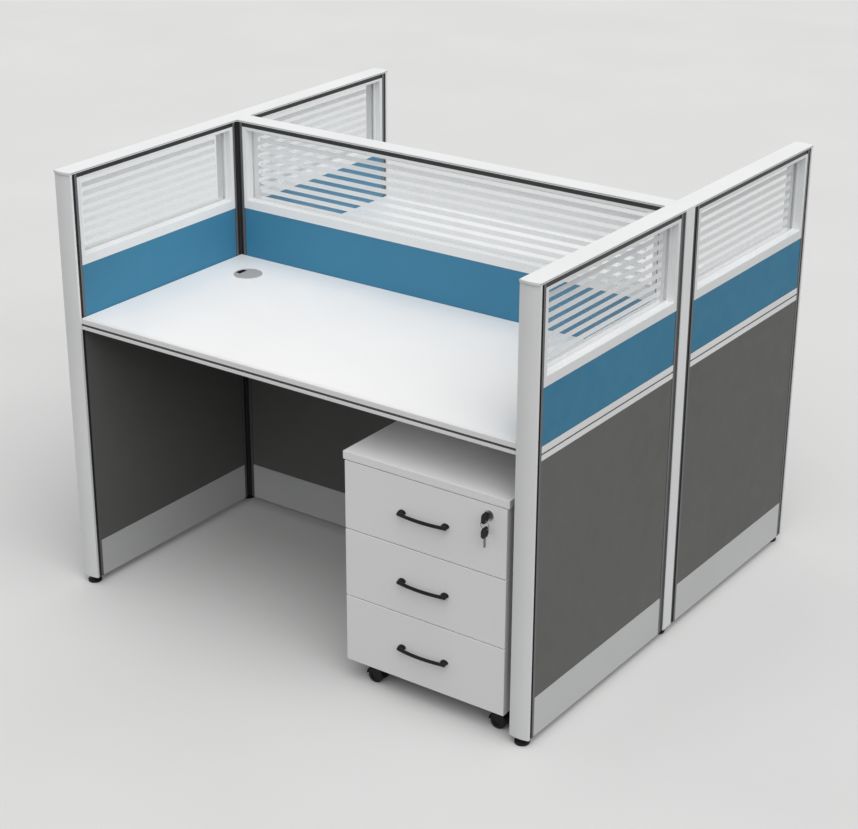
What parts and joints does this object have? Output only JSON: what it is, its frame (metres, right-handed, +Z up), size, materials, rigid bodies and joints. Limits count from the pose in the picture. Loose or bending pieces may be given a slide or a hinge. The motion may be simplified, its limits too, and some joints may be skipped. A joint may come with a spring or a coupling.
{
  "type": "two-person workstation desk",
  "caption": "Back-to-back workstation with panelled partitions, striped glass screens, white worktops with cable grommets and a lockable drawer pedestal on castors.",
  "frame": {"origin": "on the floor under the middle of the spine partition, which is the centre of the plan", "axes": "+X along the spine partition, to the right of the front seat; +Y from the front seat to the rear one; +Z up"},
  "size_m": [1.4, 1.3205, 1.127],
  "materials": {
    "white_aluminium": "satin white powder coat",
    "grey_aluminium": "matte dark grey powder coat",
    "white_steel": "satin white powder coat",
    "white_frame": "satin white",
    "pane": "clear with frosted stripes",
    "blue_tile": "fine matte blue facing on board",
    "grey_tile": "fine matte dark grey facing on board",
    "white_board": "smooth white melamine on board",
    "white_edge": "satin white edging",
    "dark_inlay": "matte dark bead",
    "grommet": "fine matte grey",
    "bracket_steel": "dark grey powder coat",
    "black_foot": "matte black",
    "runner_steel": "zinc plated",
    "handle_black": "satin black",
    "lock_steel": "satin plated",
    "key_black": "black key head",
    "castor_black": "matte black"
  },
  "bodies": {
    "desk": {"side_panel_frames": "grey_aluminium", "spine_panel_frame": "grey_aluminium", "t_posts": "grey_aluminium", "t_post_covers": "white_aluminium", "end_trims": "white_aluminium", "side_top_caps": "white_aluminium", "spine_top_cap": "white_aluminium", "mid_rails": "white_aluminium", "kick_plates": "white_steel", "side_glass_frames": "white_frame", "spine_glass_frame": "white_frame", "side_glass_panes": "pane", "spine_glass_pane": "pane", "side_upper_tiles": "blue_tile", "spine_upper_tiles": "blue_tile", "side_lower_tiles": "grey_tile", "spine_lower_tiles": "grey_tile", "front_desktop": "white_board", "rear_desktop": "white_board", "desk_edge_strips": "white_edge", "desk_edge_inlays": "dark_inlay", "grommet_rings": "grommet", "desk_brackets": "bracket_steel"},
    "pedestal": {"pedestal_top": "white_board", "pedestal_carcass": "white_board", "runner_tracks": "runner_steel", "castor_plates": "runner_steel"},
    "key": {"lock_plug": "lock_steel", "lock_key": "key_black"},
    "bolt": {"lock_bolt": "lock_steel"},
    "hanging_key": {"spare_key": "key_black"},
    "front_cable_cap": {"front_grommet_cap": "grommet"},
    "rear_cable_cap": {"rear_grommet_cap": "grommet"},
    "drawer_1": {"drawer_1_front": "white_board", "drawer_1_box": "white_board", "drawer_1_slides": "runner_steel", "drawer_1_handle": "handle_black", "lock_barrel": "lock_steel"},
    "drawer_2": {"drawer_2_front": "white_board", "drawer_2_box": "white_board", "drawer_2_slides": "runner_steel", "drawer_2_handle": "handle_black"},
    "drawer_3": {"drawer_3_front": "white_board", "drawer_3_box": "white_board", "drawer_3_slides": "runner_steel", "drawer_3_handle": "handle_black"},
    "front_left_leveller": {"front_left_foot": "black_foot"},
    "front_right_leveller": {"front_right_foot": "black_foot"},
    "middle_left_leveller": {"middle_left_foot": "black_foot"},
    "middle_right_leveller": {"middle_right_foot": "black_foot"},
    "rear_left_leveller": {"rear_left_foot": "black_foot"},
    "rear_right_leveller": {"rear_right_foot": "black_foot"},
    "front_left_castor": {"front_left_castor_fork": "castor_black"},
    "front_left_wheels": {"front_left_castor_wheels": "castor_black"},
    "front_right_castor": {"front_right_castor_fork": "castor_black"},
    "front_right_wheels": {"front_right_castor_wheels": "castor_black"},
    "rear_left_castor": {"rear_left_castor_fork": "castor_black"},
    "rear_left_wheels": {"rear_left_castor_wheels": "castor_black"},
    "rear_right_castor": {"rear_right_castor_fork": "castor_black"},
    "rear_right_wheels": {"rear_right_castor_wheels": "castor_black"}
  },
  "joints": [
    {"name": "pedestal_roll", "type": "slide", "parent": "desk", "child": "pedestal", "axis": [0, -1, 0], "range_m": [0, 0.65]},
    {"name": "drawer_1_slide", "type": "slide", "parent": "pedestal", "child": "drawer_1", "axis": [0, -1, 0], "range_m": [0, 0.32]},
    {"name": "drawer_2_slide", "type": "slide", "parent": "pedestal", "child": "drawer_2", "axis": [0, -1, 0], "range_m": [0, 0.32]},
    {"name": "drawer_3_slide", "type": "slide", "parent": "pedestal", "child": "drawer_3", "axis": [0, -1, 0], "range_m": [0, 0.32]},
    {"name": "key_turn", "type": "hinge", "parent": "drawer_1", "child": "key", "pos_m": [0.577, -0.638, 0.556], "axis": [0, 1, 0], "range_deg": [0, 90]},
    {"name": "bolt_throw", "type": "slide", "parent": "drawer_1", "child": "bolt", "axis": [0, 0, 1], "range_m": [0, 0.00708]},
    {"name": "hanging_key_swing", "type": "hinge", "parent": "key", "child": "hanging_key", "pos_m": [0.577, -0.655, 0.549], "axis": [-1, 0, 0], "range_deg": [-5, 70]},
    {"name": "front_cable_cap_turn", "type": "hinge", "parent": "desk", "child": "front_cable_cap", "pos_m": [-0.527, -0.141, 0.75], "axis": [0, 0, 1], "continuous": true},
    {"name": "rear_cable_cap_turn", "type": "hinge", "parent": "desk", "child": "rear_cable_cap", "pos_m": [0.527, 0.141, 0.75], "axis": [0, 0, 1], "continuous": true},
    {"name": "front_left_foot_screw", "type": "slide", "parent": "desk", "child": "front_left_leveller", "axis": [0, 0, -1], "range_m": [0, 0.015]},
    {"name": "front_right_foot_screw", "type": "slide", "parent": "desk", "child": "front_right_leveller", "axis": [0, 0, -1], "range_m": [0, 0.015]},
    {"name": "middle_left_foot_screw", "type": "slide", "parent": "desk", "child": "middle_left_leveller", "axis": [0, 0, -1], "range_m": [0, 0.015]},
    {"name": "middle_right_foot_screw", "type": "slide", "parent": "desk", "child": "middle_right_leveller", "axis": [0, 0, -1], "range_m": [0, 0.015]},
    {"name": "rear_left_foot_screw", "type": "slide", "parent": "desk", "child": "rear_left_leveller", "axis": [0, 0, -1], "range_m": [0, 0.015]},
    {"name": "rear_right_foot_screw", "type": "slide", "parent": "desk", "child": "rear_right_leveller", "axis": [0, 0, -1], "range_m": [0, 0.015]},
    {"name": "front_left_castor_swivel", "type": "hinge", "parent": "pedestal", "child": "front_left_castor", "pos_m": [0.223, -0.598, 0.053], "axis": [0, 0, 1], "continuous": true},
    {"name": "front_left_wheels_spin", "type": "hinge", "parent": "front_left_castor", "child": "front_left_wheels", "pos_m": [0.241, -0.598, 0.02], "axis": [0, 1, 0], "continuous": true},
    {"name": "front_right_castor_swivel", "type": "hinge", "parent": "pedestal", "child": "front_right_castor", "pos_m": [0.577, -0.598, 0.053], "axis": [0, 0, 1], "continuous": true},
    {"name": "front_right_wheels_spin", "type": "hinge", "parent": "front_right_castor", "child": "front_right_wheels", "pos_m": [0.595, -0.598, 0.02], "axis": [0, 1, 0], "continuous": true},
    {"name": "rear_left_castor_swivel", "type": "hinge", "parent": "pedestal", "child": "rear_left_castor", "pos_m": [0.223, -0.138, 0.053], "axis": [0, 0, 1], "continuous": true},
    {"name": "rear_left_wheels_spin", "type": "hinge", "parent": "rear_left_castor", "child": "rear_left_wheels", "pos_m": [0.241, -0.138, 0.02], "axis": [0, 1, 0], "continuous": true},
    {"name": "rear_right_castor_swivel", "type": "hinge", "parent": "pedestal", "child": "rear_right_castor", "pos_m": [0.577, -0.138, 0.053], "axis": [0, 0, 1], "continuous": true},
    {"name": "rear_right_wheels_spin", "type": "hinge", "parent": "rear_right_castor", "child": "rear_right_wheels", "pos_m": [0.595, -0.138, 0.02], "axis": [0, 1, 0], "continuous": true}
  ],
  "couplings": [
    {"joint": "bolt_throw", "follows": "key_turn", "m_per_rad": 0.0045016}
  ]
}
